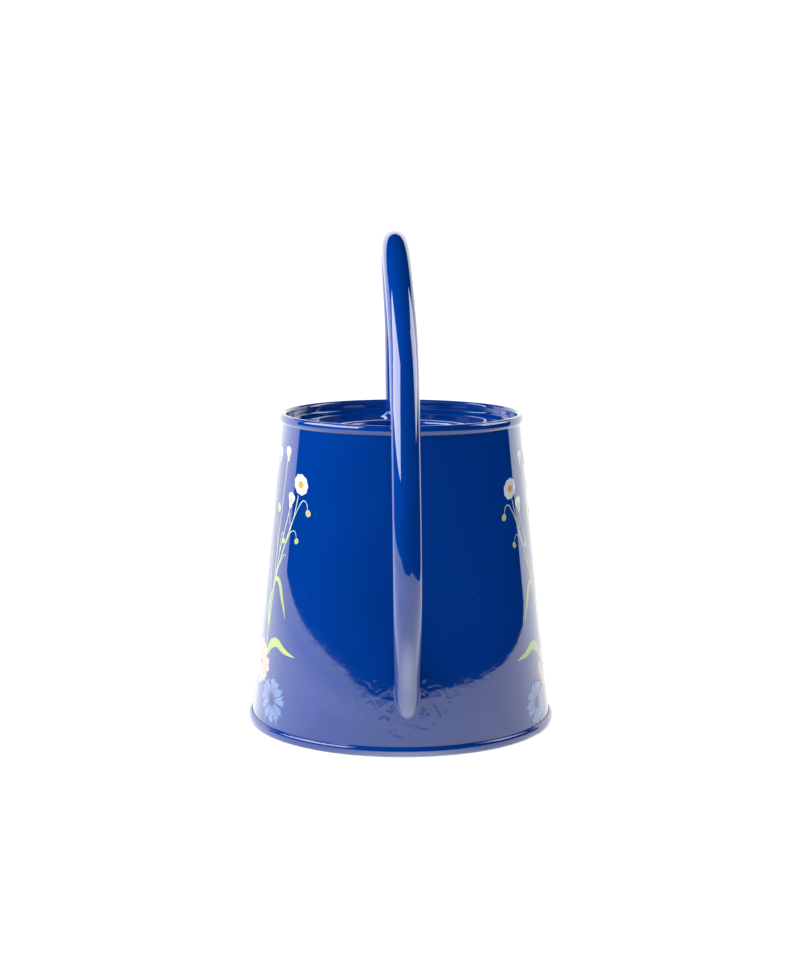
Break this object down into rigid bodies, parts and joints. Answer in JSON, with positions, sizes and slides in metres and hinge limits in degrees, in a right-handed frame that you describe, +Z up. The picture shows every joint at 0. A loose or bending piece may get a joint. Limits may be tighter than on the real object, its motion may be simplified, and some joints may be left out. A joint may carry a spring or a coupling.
{
  "type": "watering can",
  "caption": "Small indoor watering can of enamelled sheet steel: tapered body, recessed top with round filler opening, arched tube handle and swan-neck spout.",
  "frame": {"origin": "on the floor, at the middle of the whole outline's length and width", "axes": "+X towards the spout, +Z up, +Y to the left of someone who holds the handle and faces the spout"},
  "size_m": [0.277, 0.1266, 0.2017],
  "materials": {
    "wall_enamel": "gloss navy enamel with a printed meadow border",
    "plate_enamel": "gloss navy enamel",
    "base_enamel": "gloss navy enamel, worn at the resting edge",
    "handle_enamel": "gloss navy enamel",
    "braze_enamel": "gloss navy enamel over slightly uneven filler metal",
    "spout_enamel": "gloss navy enamel"
  },
  "bodies": {
    "root": {"body_wall": "wall_enamel", "top_plate": "plate_enamel", "base_plate": "base_enamel", "handle_tube": "handle_enamel", "handle_foot_braze": "braze_enamel", "handle_tail_braze": "braze_enamel", "spout_tube": "spout_enamel", "spout_braze": "braze_enamel"}
  },
  "joints": []
}
